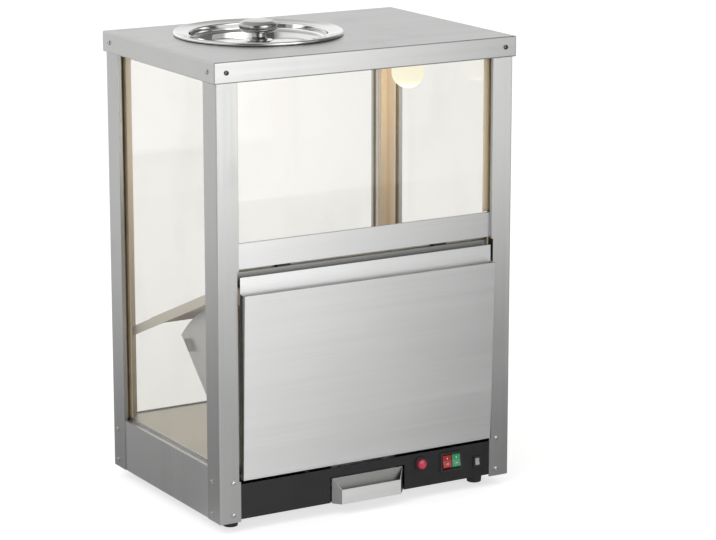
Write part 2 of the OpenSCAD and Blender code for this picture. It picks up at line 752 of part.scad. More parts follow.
// Steel conduit that carries the lamp's wires up the back right corner and along under the cap
module lamp_conduit() color([0.7, 0.68, 0.62]) in_cabinet() {
    dx = lamp_x - conduit_x;
    dy = lamp_y - conduit_y;
    rod_z(conduit_x, conduit_y, conduit_z0, conduit_r, conduit_z - conduit_z0);
    // Elbow box
    rod_z(conduit_x, conduit_y, conduit_z - 7, conduit_r + 2.5, 14);
    translate([conduit_x, conduit_y, conduit_z]) rotate([0, 90, atan2(dy, dx)])
        cylinder(r = conduit_r, h = norm([dx, dy]) - lamp_holder_r);
}

// Controls

module pilot_lamp_body() color([0.1, 0.1, 0.1]) in_cabinet() difference() {
    union() {
        rod_y(pilot_x, sheet - 2, pilot_z, 10, 2);
        rod_y(pilot_x, sheet, pilot_z, 7.9, 24);
    }
    rod_y(pilot_x, sheet - 3, pilot_z, 7.5, 8);
}
module pilot_lamp_lens() color([0.8, 0.05, 0.08]) in_cabinet() {
    rod_y(pilot_x, sheet - 4, pilot_z, 7.5, 9);
    translate([pilot_x, sheet - 4, pilot_z]) rotate([90, 0, 0]) intersection() {
        translate([0, 0, -8.2]) sphere(11.1, $fn = 64);
        cylinder(r = 7.5, h = 5);
    }
}

// A switch has a bezel on the fascia, a box behind it and a cross pin for each rocker;
// a pivot is the pin's depth behind the bezel's front
bezel_t = 2;
twin_pivot = 5.5;
small_pivot = 2.5;
rocker_pin_r = 1.5;
rocker_bore_r = 1.55;
twin_w = 34;
twin_h = 27;
twin_open_w = 30.4;
twin_open_h = 23.4;
twin_rocker_w = 13;
twin_rocker_r = 10.5;
small_w = 11;
small_h = 15.5;
small_open_w = 9;
small_open_h = 13.4;
small_rocker_w = 6;
small_rocker_r = 5.6;

module switch_housing(w, h, open_w, open_h, rocker_w, rocker_r, pivot, centres, deep) {
    body_x = open_w / 2 - 0.1;
    body_z = open_h / 2 - 0.1;
    pocket_x = rocker_w / 2 + 0.3;
    pocket_z = rocker_r + 0.3;
    difference() {
        union() {
            block([-w / 2, w / 2], [sheet - bezel_t, sheet], [-h / 2, h / 2]);
            block([-body_x, body_x], [sheet - eps, deep], [-body_z, body_z]);
        }
        for (c = centres) translate([c, 0, 0])
            block([-pocket_x, pocket_x], [sheet - bezel_t - 1, sheet + 12], [-pocket_z, pocket_z]);
    }
    for (c = centres)
        rod_x(c - pocket_x - 0.3, sheet + pivot - bezel_t, 0, rocker_pin_r, 2 * pocket_x + 0.6);
}

// Paddle with two flat faces that meet in a shallow vee, turned about its pin;
// at rest its top is pressed in
module rocker(w, r, pivot) translate([0, sheet + pivot - bezel_t, 0]) rotate([-rocker_swing / 2, 0, 0])
difference() {
    middle = -pivot - 0.5;
    tip = middle - r * tan(rocker_swing / 2);
    back = r * 0.35;
    intersection() {
        rod_x(-w / 2, 0, 0, r, w);
        translate([-w / 2, 0, 0]) rotate([90, 0, 90]) linear_extrude(w)
            polygon([[middle, 0], [tip, r], [back, r], [back, -r], [tip, -r]]);
    }
    rod_x(-w, 0, 0, rocker_bore_r, 2 * w);
}

twin_offset = twin_rocker_w / 2 + 0.7;
module twin_switch_housing() color([0.08, 0.08, 0.08]) in_cabinet() translate([twin_x, 0, twin_z])
switch_housing(twin_w, twin_h, twin_open_w, twin_open_h, twin_rocker_w, twin_rocker_r, twin_pivot,
    [-twin_offset, twin_offset], 26);
module red_rocker() color([0.85, 0.05, 0.04]) in_cabinet()
translate([twin_x - twin_offset, 0, twin_z]) rocker(twin_rocker_w, twin_rocker_r, twin_pivot);
module green_rocker() color([0.1, 0.65, 0.3]) in_cabinet()
translate([twin_x + twin_offset, 0, twin_z]) rocker(twin_rocker_w, twin_rocker_r, twin_pivot);

module small_switch_housing() color([0.08, 0.08, 0.08]) in_cabinet() translate([small_x, 0, small_z])
switch_housing(small_w, small_h, small_open_w, small_open_h, small_rocker_w, small_rocker_r, small_pivot,
    [0], 20);
module small_rocker() color([0.75, 0.77, 0.76]) in_cabinet()
translate([small_x, 0, small_z]) rocker(small_rocker_w, small_rocker_r, small_pivot);

// Fasteners

// Pan-head screw along -z, its head on z = 0
module screw(l) {
    translate([0, 0, -l]) cylinder(r = screw_r, h = l + 0.2, $fn = 24);
    intersection() {
        cylinder(r = head_r, h = head_h, $fn = 32);
        translate([0, 0, head_h - 4.2]) sphere(4.2, $fn = 48);
    }
}
module facing_front(x, y, z) translate([x, y, z]) rotate([90, 0, 0]) children();
module facing_back(x, y, z) translate([x, y, z]) rotate([-90, 0, 0]) children();
module facing_left(x, y, z) translate([x, y, z]) rotate([0, -90, 0]) children();

module frame_screws() color([0.5, 0.5, 0.5]) in_cabinet() for (z = frame_z) {
    for (s = [-1, 1]) {
        facing_front(s * frame_x, 0, z) screw(4.5);
        facing_back(s * frame_x, body_d, z) screw(4.5);
    }
    both_sides() for (y = [front_side_y, back_side_y]) facing_left(-half_w, y, z) screw(4.5);
}
module cap_screws() color([0.5, 0.5, 0.5]) in_cabinet() {
    z = cap_screw_z;
    for (s = [-1, 1]) {
        facing_front(s * cap_screw_x, -overhang, z) screw(8);
        facing_back(s * cap_screw_x, body_d + overhang, z) screw(8);
    }
    both_sides() for (y = [cap_screw_y, body_d - cap_screw_y])
        facing_left(-half_w - overhang, y, z) screw(8);
}

post_front_left();
post_front_right();
post_back_left();
post_back_right();
liner_front_left();
liner_front_right();
liner_back_left();
liner_back_right();
cap();
fill_port();
lid();
lid_knob();
lid_knob_screw();
window_front();
window_back();
window_left();
window_right();
window_seals();
top_channels();
front_rail();
sill_left();
sill_right();
back_panel();
fascia();
base_pan();
floor_panel();
baffle();
baffle_rails();
door_skin();
door_pan();
hinge_bushes();
hinge_pins();
door_magnets();
crumb_tray();
tray_pull();
tray_guides();
crumb_chute();
fan_frame();
fan_motor();
fan_wheel();
air_duct();
heater_element();
thermostat();
terminal_block();
power_inlet();
lamp_holder();
lamp_bulb();
lamp_cap();
lamp_conduit();
pilot_lamp_body();
pilot_lamp_lens();
twin_switch_housing();
red_rocker();
green_rocker();
small_switch_housing();
small_rocker();
feet();
foot_screws();
frame_screws();
cap_screws();
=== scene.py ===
import json
import math

import bmesh
import bpy
from mathutils import Matrix, Vector

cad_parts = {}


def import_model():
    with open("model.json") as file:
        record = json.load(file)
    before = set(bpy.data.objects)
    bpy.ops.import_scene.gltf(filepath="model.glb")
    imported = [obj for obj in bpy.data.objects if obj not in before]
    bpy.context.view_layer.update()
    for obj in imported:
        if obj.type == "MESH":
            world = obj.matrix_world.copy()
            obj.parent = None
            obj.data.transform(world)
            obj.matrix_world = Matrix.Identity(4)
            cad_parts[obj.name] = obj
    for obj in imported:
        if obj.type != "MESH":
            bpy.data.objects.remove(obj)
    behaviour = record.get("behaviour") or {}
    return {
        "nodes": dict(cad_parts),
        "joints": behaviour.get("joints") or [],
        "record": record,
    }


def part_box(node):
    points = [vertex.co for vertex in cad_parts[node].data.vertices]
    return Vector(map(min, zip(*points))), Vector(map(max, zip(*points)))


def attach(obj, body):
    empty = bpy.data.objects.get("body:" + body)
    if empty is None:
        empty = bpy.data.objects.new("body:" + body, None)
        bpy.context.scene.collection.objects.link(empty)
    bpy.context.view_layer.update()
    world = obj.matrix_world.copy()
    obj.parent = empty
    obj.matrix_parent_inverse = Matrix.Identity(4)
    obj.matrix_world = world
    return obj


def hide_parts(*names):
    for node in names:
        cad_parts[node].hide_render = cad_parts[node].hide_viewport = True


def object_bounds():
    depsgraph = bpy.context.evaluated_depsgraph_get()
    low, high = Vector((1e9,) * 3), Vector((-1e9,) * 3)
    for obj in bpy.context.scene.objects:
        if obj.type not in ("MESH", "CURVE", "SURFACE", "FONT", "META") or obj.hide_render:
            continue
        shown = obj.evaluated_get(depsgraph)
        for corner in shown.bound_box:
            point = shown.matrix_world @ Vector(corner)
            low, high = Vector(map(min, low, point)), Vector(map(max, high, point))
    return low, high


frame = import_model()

cad_low, cad_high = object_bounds()

# Places are in millimetres in the cabinet's own frame: x from the middle, y back from the
# front of the posts, z up from the bottom of the posts
MM = 0.001
post_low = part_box("post_front_left")[0]
ORIGIN = Vector((0, post_low.y, post_low.z))

# Thickness of the sheet steel
SHEET = 1.2

# Bore of the fill port and the depth of its collar
PORT_R = 96
PORT_DEPTH = 25

# Share of light that glass reflects straight on
GLASS_F0 = 0.04

# Points that are closer than this, in metres, are one
SAME_POINT = 1e-6


def place(x, y, z):
    """A point of the cabinet's frame, in metres in the row's frame."""
    return ORIGIN + Vector((x, y, z)) * MM


def node_box(node):
    """Lowest and highest corner of a CAD node in the cabinet's frame, in millimetres."""
    low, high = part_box(node)
    return (low - ORIGIN) / MM, (high - ORIGIN) / MM


def set_range(node, low, high, to_low, to_high):
    """Sets what a Map Range node reads and what it gives, with soft ends."""
    node.interpolation_type = "SMOOTHSTEP"
    for name, number in zip(("From Min", "From Max", "To Min", "To Max"), (low, high, to_low, to_high)):
        node.inputs[name].default_value = number


def calculate(tree, operation, a, b):
    """A Math node's result for two values, each a number or a socket."""
    node = tree.nodes.new("ShaderNodeMath")
    node.operation = operation
    for socket, value in zip(node.inputs, (a, b)):
        if isinstance(value, (int, float)):
            socket.default_value = value
        else:
            tree.links.new(value, socket)
    return node.outputs[0]


# Materials

class Finish:
    """A material under construction, with short calls that add its nodes."""

    def __init__(self, name, colour, metallic=0.0, roughness=0.5):
        self.material = bpy.data.materials.new(name)
        self.material.use_nodes = True
        self.tree = self.material.node_tree
        self.shader = self.tree.nodes["Principled BSDF"]
        self.colour = (*colour, 1)
        self.shader.inputs["Base Color"].default_value = self.colour
        self.shader.inputs["Metallic"].default_value = metallic
        self.shader.inputs["Roughness"].default_value = roughness
        self.position = self.tree.nodes.new("ShaderNodeTexCoord").outputs["Object"]

    def link(self, source, target):
        self.tree.links.new(source, target)

    def set(self, name, value):
        self.shader.inputs[name].default_value = value

    def scaled(self, scale):
        """The position, scaled by a number or by one number for each axis."""
        mapping = self.tree.nodes.new("ShaderNodeMapping")
        self.link(self.position, mapping.inputs["Vector"])
        mapping.inputs["Scale"].default_value = scale if isinstance(scale, tuple) else (scale,) * 3
        return mapping.outputs["Vector"]

    def noise(self, scale, detail=3.0, roughness=0.5):
        """Noise from 0 to 1 with so many features per metre along each axis."""
        texture = self.tree.nodes.new("ShaderNodeTexNoise")
        texture.inputs["Scale"].default_value = 1
        texture.inputs["Detail"].default_value = detail
        texture.inputs["Roughness"].default_value = roughness
        self.link(self.scaled(scale), texture.inputs["Vector"])
        return texture.outputs[0]

    def cells(self, scale):
        """A random number for each cell of a Voronoi pattern."""
        texture = self.tree.nodes.new("ShaderNodeTexVoronoi")
        texture.inputs["Scale"].default_value = 1
        self.link(self.scaled(scale), texture.inputs["Vector"])
        parts = self.tree.nodes.new("ShaderNodeSeparateXYZ")
        self.link(texture.outputs["Color"], parts.inputs[0])
        return parts.outputs[0]

    def ramp(self, value, low, high, to_low=0.0, to_high=1.0):
        """Maps low..high of a value to to_low..to_high, with soft ends."""
        node = self.tree.nodes.new("ShaderNodeMapRange")
        self.link(value, node.inputs["Value"])
        set_range(node, low, high, to_low, to_high)
        return node.outputs[0]

    def math(self, operation, a, b):
        return calculate(self.tree, operation, a, b)

    def mixed(self, factor, a, b):
        """A colour between a and b, each a colour or a socket."""
        node = self.tree.nodes.new("ShaderNodeMix")
        node.data_type = "RGBA"
        self.link(factor, node.inputs[0])
        for socket, value in ((node.inputs[6], a), (node.inputs[7], b)):
            if isinstance(value, tuple):
                socket.default_value = value
            else:
                self.link(value, socket)
        return node.outputs[2]

    def shade(self, factor, darkest):
        """The base colour, darker by up to a factor where the given factor is 0."""
        dark = tuple(c * darkest for c in self.colour[:3]) + (1,)
        self.link(self.mixed(factor, dark, self.colour), self.shader.inputs["Base Color"])

    def rough(self, socket):
        self.link(socket, self.shader.inputs["Roughness"])

    def bump(self, height, strength, distance):
        node = self.tree.nodes.new("ShaderNodeBump")
        node.inputs["Strength"].default_value = strength
        node.inputs["Distance"].default_value = distance
        self.link(height, node.inputs["Height"])
        self.link(node.outputs["Normal"], self.shader.inputs["Normal"])

    def axes(self):
        """The position's x, y and z."""
        parts = self.tree.nodes.new("ShaderNodeSeparateXYZ")
        self.link(self.position, parts.inputs[0])
        return parts.outputs

    def blend(self, factor, a, b):
        """A mix of two shaders."""
        node = self.tree.nodes.new("ShaderNodeMixShader")
        self.link(factor, node.inputs[0])
        self.link(a, node.inputs[1])
        self.link(b, node.inputs[2])
        return node.outputs[0]

    def surface(self, shader):
        """Takes another shader in place of the Principled one."""
        self.link(shader, self.tree.nodes["Material Output"].inputs["Surface"])
        self.tree.nodes.remove(self.shader)
        return self.material


# Direction across the grain in which brushed steel spreads its highlights, on any face of a box
ACROSS_GRAIN = {0: (0.0, 0.3, 1.0), 2: (1.0, 1.0, 0.0)}


def brushed(name, colour, roughness, grain, depth=0.12, spread=0.75, metallic=1.0):
    """Satin steel brushed along one axis: 0 for x, 2 for z; spread is how far its highlights smear."""
    finish = Finish(name, colour, metallic=metallic, roughness=roughness)
    finish.set("Anisotropic", spread)
    direction = finish.tree.nodes.new("ShaderNodeCombineXYZ")
    for socket, part in zip(direction.inputs, ACROSS_GRAIN[grain]):
        socket.default_value = part
    finish.link(direction.outputs[0], finish.shader.inputs["Tangent"])

    def along(across, length):
        return tuple(length if axis == grain else across for axis in range(3))

    fine = finish.noise(along(900, 5), detail=4, roughness=0.6)
    broad = finish.noise(along(140, 1.5), detail=3)
    cloud = finish.noise(7, detail=3)
    streak = finish.math("ADD", finish.math("MULTIPLY", fine, 0.6), finish.math("MULTIPLY", broad, 0.4))
    lines = finish.ramp(streak, 0.3, 0.7, 0.3, 1.0)
    tone = finish.math("ADD", lines, finish.ramp(cloud, 0.35, 0.65, -0.2, 0.0))
    finish.shade(tone, 0.9)
    smudge = finish.ramp(finish.noise(16, detail=5), 0.52, 0.7, 0.0, 0.03)
    satin = finish.ramp(streak, 0.3, 0.7, roughness - 0.05, roughness + 0.06)
    finish.rough(finish.math("ADD", satin, smudge))
    finish.bump(streak, depth, 0.0003)
    return finish.material


def polished(name, colour, roughness):
    """Bright steel with faint wear and finger marks."""
    finish = Finish(name, colour, metallic=1.0, roughness=roughness)
    cloud = finish.noise(22, detail=4)
    finish.shade(finish.ramp(cloud, 0.3, 0.6), 0.93)
    smudge = finish.ramp(finish.noise(38, detail=5), 0.5, 0.72, 0.0, 0.05)
    finish.rough(finish.math("ADD", smudge, roughness))
    finish.bump(finish.noise(420, detail=2), 0.02, 0.0002)
    return finish.material


def galvanised(name, colour):
    """Zinc-coated sheet with a spangle."""
    finish = Finish(name, colour, metallic=1.0, roughness=0.45)
    spangle = finish.cells(130)
    finish.shade(spangle, 0.78)
    finish.rough(finish.ramp(spangle, 0, 1, 0.36, 0.55))
    finish.bump(finish.noise(300, detail=3), 0.06, 0.0002)
    return finish.material


def coated(name, colour, roughness, grain=900, depth=0.2, worn=0.75):
    """Powder coat, rubber or moulded plastic: a fine grain, a slow change of tone and dull patches."""
    finish = Finish(name, colour, roughness=roughness)
    cloud = finish.noise(30, detail=4)
    finish.shade(finish.ramp(cloud, 0.3, 0.7), worn)
    finish.rough(finish.ramp(finish.noise(45, detail=5), 0.35, 0.7, roughness - 0.05, roughness + 0.1))
    finish.bump(finish.noise(grain, detail=2), depth, 0.0004)
    return finish.material


def lit_plastic(name, colour, strength):
    """Coloured plastic with a faint glow behind it."""
    finish = Finish(name, colour, roughness=0.18)
    finish.set("Coat Weight", 0.6)
    finish.set("Coat Roughness", 0.06)
    finish.set("Emission Color", finish.colour)
    glow = finish.ramp(finish.noise(160, detail=2), 0.25, 0.75, strength * 0.75, strength * 1.2)
    finish.link(glow, finish.shader.inputs["Emission Strength"])
    finish.shade(finish.ramp(finish.noise(60), 0.3, 0.7), 0.8)
    finish.bump(finish.noise(500, detail=1), 0.04, 0.0002)
    return finish.material


def glowing_lens(name, colour, centre, radius):
    """Clear coloured plastic that is brightest where the lamp behind it is and dark at its rim."""
    finish = Finish(name, tuple(c * 0.35 for c in colour), roughness=0.14)
    finish.set("Coat Weight", 0.8)
    finish.set("Coat Roughness", 0.05)
    finish.set("Emission Color", (*colour, 1))
    reach = finish.tree.nodes.new("ShaderNodeVectorMath")
    reach.operation = "DISTANCE"
    finish.link(finish.position, reach.inputs[0])
    reach.inputs[1].default_value = centre
    glow = finish.ramp(reach.outputs["Value"], radius * 0.1, radius * 0.95, 0.42, 0.02)
    grain = finish.ramp(finish.noise(400, detail=2), 0.3, 0.7, 0.85, 1.15)
    finish.link(finish.math("MULTIPLY", glow, grain), finish.shader.inputs["Emission Strength"])
    finish.bump(finish.noise(500, detail=1), 0.04, 0.0002)
    return finish.material


def frosted_bulb(name, colour):
    """Frosted glass over a warm filament: an even glow, a touch weaker towards its rim."""
    finish = Finish(name, tuple(c * 0.1 for c in colour), roughness=0.5)
    facing = finish.tree.nodes.new("ShaderNodeLayerWeight")
    facing.inputs["Blend"].default_value = 0.3
    finish.set("Emission Color", (*colour, 1))
    rim = finish.ramp(facing.outputs["Facing"], 0.2, 1.0, 1.0, 0.9)
    cloud = finish.ramp(finish.noise(40, detail=2), 0.3, 0.7, 0.98, 1.02)
    finish.link(finish.math("MULTIPLY", rim, cloud), finish.shader.inputs["Emission Strength"])
    finish.set("Specular IOR Level", 0.1)
    return finish.material


def clear_glass(name, tint):
    """A pane: see-through, with a faint tint, Fresnel reflections and light smears."""
    finish = Finish(name, tint)
    tree = finish.tree
    clear = tree.nodes.new("ShaderNodeBsdfTransparent")
    smear = finish.ramp(finish.noise((9, 9, 5), detail=5), 0.5, 0.75)
    haze = tuple(c * 0.97 for c in tint) + (1,)
    finish.link(finish.mixed(smear, (*tint, 1), haze), clear.inputs["Color"])
    mirror = tree.nodes.new("ShaderNodeBsdfGlossy")
    mirror.inputs["Color"].default_value = (1, 1, 1, 1)
    finish.link(finish.ramp(finish.noise(30, detail=4), 0.4, 0.75, 0.01, 0.05), mirror.inputs["Roughness"])
    facing = tree.nodes.new("ShaderNodeLayerWeight")
    facing.inputs["Blend"].default_value = 0.5
    edge_on = finish.math("POWER", facing.outputs["Facing"], 5)
    share = finish.math("ADD", finish.math("MULTIPLY", edge_on, 1 - GLASS_F0), GLASS_F0)
    return finish.surface(finish.blend(share, clear.outputs[0], mirror.outputs[0]))


# The pilot lamp glows a little below the middle of its lens
lens_low, lens_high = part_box("pilot_lamp_lens")
lens_spot = Vector(((lens_low.x + lens_high.x) / 2, lens_low.y, (lens_low.z + lens_high.z) / 2 - 0.001))

MATERIALS = {
    "steel_post": brushed("post_steel", (0.58, 0.58, 0.575), 0.36, 2, depth=0.2),
    "steel_panel": brushed("panel_steel", (0.84, 0.84, 0.835), 0.4, 0),
    "steel_cap": brushed("cap_steel", (0.54, 0.54, 0.535), 0.32, 0, spread=0.0),
    "steel_polished": polished("polished_steel", (0.78, 0.775, 0.77), 0.04),
    # The inner steel's warm tint is painted lamplight
    "steel_inner": brushed("inner_steel", (0.86, 0.8, 0.7), 0.42, 0, spread=0.3),
    "steel_galvanised": galvanised("galvanised_steel", (0.6, 0.61, 0.62)),
    "screw_steel": polished("screw_steel", (0.62, 0.62, 0.61), 0.22),
    "glass_clear": clear_glass("window_glass", (0.95, 0.947, 0.935)),
    "rubber_black": coated("seal_rubber", (0.36, 0.28, 0.15), 0.5),
    "panel_black": coated("panel_powder_coat", (0.008, 0.008, 0.01), 0.4, grain=1400, depth=0.3),
    "plastic_black": coated("black_plastic", (0.018, 0.018, 0.02), 0.3, depth=0.1),
    "plastic_red": lit_plastic("red_plastic", (0.3, 0.006, 0.005), 0.15),
    "plastic_green": lit_plastic("green_plastic", (0.025, 0.2, 0.09), 0.2),
    "plastic_grey": coated("grey_plastic", (0.27, 0.29, 0.28), 0.32, depth=0.08, worn=0.9),
    "lens_red": glowing_lens("red_lens", (0.75, 0.035, 0.1), lens_spot, 0.0075),
    "plastic_bush": coated("bush_plastic", (0.05, 0.05, 0.05), 0.4, depth=0.08, worn=0.9),
    "ceramic_white": coated("ceramic", (0.8, 0.79, 0.74), 0.35, depth=0.15, worn=0.88),
    "bulb_glass": frosted_bulb("bulb_glass", (1.0, 0.96, 0.74)),
    "bulb_cap_metal": polished("bulb_cap_metal", (0.7, 0.65, 0.5), 0.25),
    "element_steel": coated("element_sheath", (0.12, 0.1, 0.09), 0.5, worn=0.6),
    "magnet_block": coated("magnet_block", (0.03, 0.03, 0.032), 0.45),
}

# The door and the rail above it
DOOR_STEEL = brushed("door_steel", (0.72, 0.72, 0.715), 0.4, 0)

# Corners inside the cabinet: a tan steel whose colour is painted warm lamplight and a painted reflection
# of the food
PAINTED_LAMPLIGHT_STEEL = brushed("painted_lamplight_steel", (0.9, 0.765, 0.57), 0.45, 2, spread=0.3, metallic=0.4)


# Pieces

def piece(name, mesh, body, slot, replaced=()):
    """Adds a mesh as a piece that rides on a body; a mesh without a finish takes its slot's."""
    obj = bpy.data.objects.new(name, mesh)
    bpy.context.scene.collection.objects.link(obj)
    if not mesh.materials:
        mesh.materials.append(MATERIALS[slot])
    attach(obj, body)
    if replaced:
        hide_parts(*replaced)
    return obj


def body_of(node):
    """The body that a CAD node belongs to."""
    for body, members in frame["record"]["behaviour"]["bodies"].items():
        if node in members:
            return body
    return "root"


def weighted(obj):
    """Keeps flat faces flat in shading next to their small rounded edges."""
    normals = obj.modifiers.new("normals", "WEIGHTED_NORMAL")
    normals.keep_sharp = True


def to_mesh(name, bm, sharp=50):
    """A smooth mesh whose edges above an angle in degrees stay sharp."""
    mesh = bpy.data.meshes.new(name)
    bm.normal_update()
    bm.to_mesh(mesh)
    bm.free()
    for face in mesh.polygons:
        face.use_smooth = True
    mesh.set_sharp_from_angle(angle=math.radians(sharp))
    return mesh


def cad_bmesh(node):
    """The node's mesh with its flat faces joined up."""
    bm = bmesh.new()
    bm.from_mesh(frame["nodes"][node].data)
    bmesh.ops.remove_doubles(bm, verts=bm.verts, dist=2e-6)
    bmesh.ops.dissolve_limit(bm, angle_limit=math.radians(0.6), verts=bm.verts, edges=bm.edges)
    return bm


def tidy_turned(bm):
    """Joins the points that meet on the axis or at a seam, and turns all faces outward."""
    bmesh.ops.remove_doubles(bm, verts=bm.verts, dist=SAME_POINT)
    bmesh.ops.recalc_face_normals(bm, faces=bm.faces)


def corner_edges(bm, least=30):
    """Edges between faces that turn by more than so many degrees."""
    return [e for e in bm.edges if len(e.link_faces) == 2 and e.calc_face_angle() > math.radians(least)]


def round_edges(bm, edges, radius, segments):
    """Rounds edges with a radius in millimetres."""
    bmesh.ops.bevel(bm, geom=edges, offset=radius * MM, segments=segments, profile=0.5,
                    affect="EDGES", clamp_overlap=True)


def rounded(node, name, slot, radius=0.4, segments=2, bends=None, bend_radius=2.0, finish=None):
    """A copy of a CAD node with rounded edges; bends picks the edges that have a larger bend."""
    bm = cad_bmesh(node)
    if bends:
        folded = [e for e in corner_edges(bm) if bends(*[(v.co - ORIGIN) / MM for v in e.verts])]
        round_edges(bm, folded, bend_radius, 4)
    round_edges(bm, corner_edges(bm, 40), radius, segments)
    mesh = to_mesh(name, bm)
    if finish:
        mesh.materials.append(finish)
    obj = piece(name, mesh, body_of(node), slot, (node,))
    weighted(obj)
    return obj


def filleted(points, steps=5):
    """An outline of (r, z, radius) corners with an arc at each corner that has a radius."""
    outline = []
    count = len(points)
    for i, (r, z, radius) in enumerate(points):
        here = Vector((r, z))
        if not radius:
            outline.append(here)
            continue
        before = (Vector(points[i - 1][:2]) - here).normalized()
        after = (Vector(points[(i + 1) % count][:2]) - here).normalized()
        half = before.angle(after) / 2
        reach = radius / math.tan(half)
        centre = here + (before + after).normalized() * radius / math.sin(half)
        start = here + before * reach - centre
        turn = start.angle_signed(here + after * reach - centre)
        for k in range(steps + 1):
            angle = -turn * k / steps
            outline.append(centre + Matrix.Rotation(angle, 2) @ start)
    return outline


def turned(bm, outline, matrix, segments, wave=None):
    """Turns an outline of (r, z) in millimetres round z; wave(angle, r, z) may move each point."""
    rings = []
    for r, z in outline:
        if r < SAME_POINT:
            rings.append([bm.verts.new(matrix @ (Vector((0, 0, z)) * MM))])
            continue
        ring = []
        for k in range(segments):
            a = 2 * math.pi * k / segments
            rr, zz = wave(a, r, z) if wave else (r, z)
            ring.append(bm.verts.new(matrix @ (Vector((rr * math.cos(a), rr * math.sin(a), zz)) * MM)))
        rings.append(ring)
    for lower, upper in zip(rings, rings[1:]):
        for k in range(segments):
            n = (k + 1) % segments
            if len(lower) == 1:
                bm.faces.new((lower[0], upper[k], upper[n]))
            elif len(upper) == 1:
                bm.faces.new((lower[k], lower[n], upper[0]))
            else:
                bm.faces.new((lower[k], lower[n], upper[n], upper[k]))


def lathe(name, outline, centre, node, slot, segments, closed=False, finish=None):
    """A turned piece on a vertical axis that replaces a node; its outline starts at the bottom."""
    bm = bmesh.new()
    if closed:
        outline = outline + outline[:1]
    turned(bm, outline, Matrix.Translation(centre), segments)
    tidy_turned(bm)
    mesh = to_mesh(name, bm)
    if finish:
        mesh.materials.append(finish)
    return piece(name, mesh, body_of(node), slot, (node,))


def islands(node):
    """Lowest and highest corner of each separate solid in a node, in metres."""
    bm = cad_bmesh(node)
    found = []
    left = set(bm.verts)
    while left:
        stack = [left.pop()]
        group = list(stack)
        while stack:
            for edge in stack.pop().link_edges:
                for vert in edge.verts:
                    if vert in left:
                        left.remove(vert)
                        stack.append(vert)
                        group.append(vert)
        found.append(tuple(Vector(f(v.co[i] for v in group) for i in range(3)) for f in (min, max)))
    bm.free()
    return sorted(found, key=lambda pair: tuple(pair[0]))


# Sheet-metal cabinet

def refinish(obj, finish, chosen):
    """Gives another finish to the faces that are chosen by their middle and their normal."""
    obj.data.materials.append(finish)
    index = len(obj.data.materials) - 1
    for face in obj.data.polygons:
        if chosen((face.center - ORIGIN) / MM, face.normal):
            face.material_index = index


def cabinet_panels():
    low = node_box("post_front_left")[0]
    high = node_box("post_back_right")[1]
    middle = (low + high) / 2
    # What lies less deep than this behind the posts' outer faces belongs to their returns
    outer = 6
    # The front posts' returns beside the door: depths behind the front, and reach from the middle
    return_front, return_back, return_reach = 2, 14, 220

    def looks_inside(spot, normal):
        """Faces of a post that look into the cabinet; the returns in front of the panes don't."""
        along_x = normal.x * (middle.x - spot.x) > 0 and abs(normal.x) > 0.7
        along_y = normal.y * (middle.y - spot.y) > 0 and abs(normal.y) > 0.7
        return (along_x and low.y + outer < spot.y < high.y - outer or
                along_y and low.x + outer < spot.x < high.x - outer)

    rail_bottom = node_box("front_rail")[0].z

    def beside_door(spot, normal):
        """The front posts' returns that lie in the shade beside the door."""
        return (spot.z < rail_bottom and return_front < spot.y < return_back and
                abs(spot.x) < return_reach)

    shaded = brushed("shaded_steel", (0.07, 0.07, 0.07), 0.45, 2)
    for corner in ("front_left", "front_right", "back_left", "back_right"):
        post = rounded("post_" + corner, "corner_post_" + corner, "steel_post", 0.35)
        # The faces that look inside the cabinet take the painted warm lamplight
        refinish(post, PAINTED_LAMPLIGHT_STEEL, looks_inside)
        if corner.startswith("front"):
            refinish(post, shaded, beside_door)
        # The liners take the painted warm lamplight too
        rounded("liner_" + corner, "corner_liner_" + corner, "steel_inner", 0.3, finish=PAINTED_LAMPLIGHT_STEEL)
    rounded("front_rail", "window_rail", "steel_panel", 0.4, finish=DOOR_STEEL)
    sill_steel = brushed("sill_steel", (0.72, 0.72, 0.715), 0.36, 2, depth=0.2)
    for side in ("left", "right"):
        rounded("sill_" + side, "side_sill_" + side, "steel_post", 0.35, finish=sill_steel)
    rounded("back_panel", "lower_back_panel", "steel_panel", 0.35)
    rounded("fascia", "control_panel", "panel_black", 0.35)
    rounded("top_channels", "glass_channels", "steel_inner", 0.3)
    rounded("baffle", "food_baffle", "steel_inner", 0.4)


def cap_top():
    """The cap's top and corners are bends; its lower edge is cut."""
    low, high = node_box("cap")
    near = 0.1

    def on_side(point, axis):
        return min(abs(point[axis] - low[axis]), abs(point[axis] - high[axis])) < near

    def is_bend(*ends):
        on_rim = all(on_side(p, 0) or on_side(p, 1) for p in ends)
        on_top = all(abs(p.z - high.z) < near for p in ends)
        at_corner = all(on_side(p, 0) and on_side(p, 1) for p in ends)
        return on_rim and (on_top or at_corner)

    rounded("cap", "cabinet_cap", "steel_cap", 0.35, bends=is_bend, bend_radius=1.8)


# Lid, knob and fill port

def port_centre(z):
    """The point of the fill port's axis at a height."""
    low, high = node_box("fill_port")
    return place((low.x + high.x) / 2, (low.y + high.y) / 2, z)


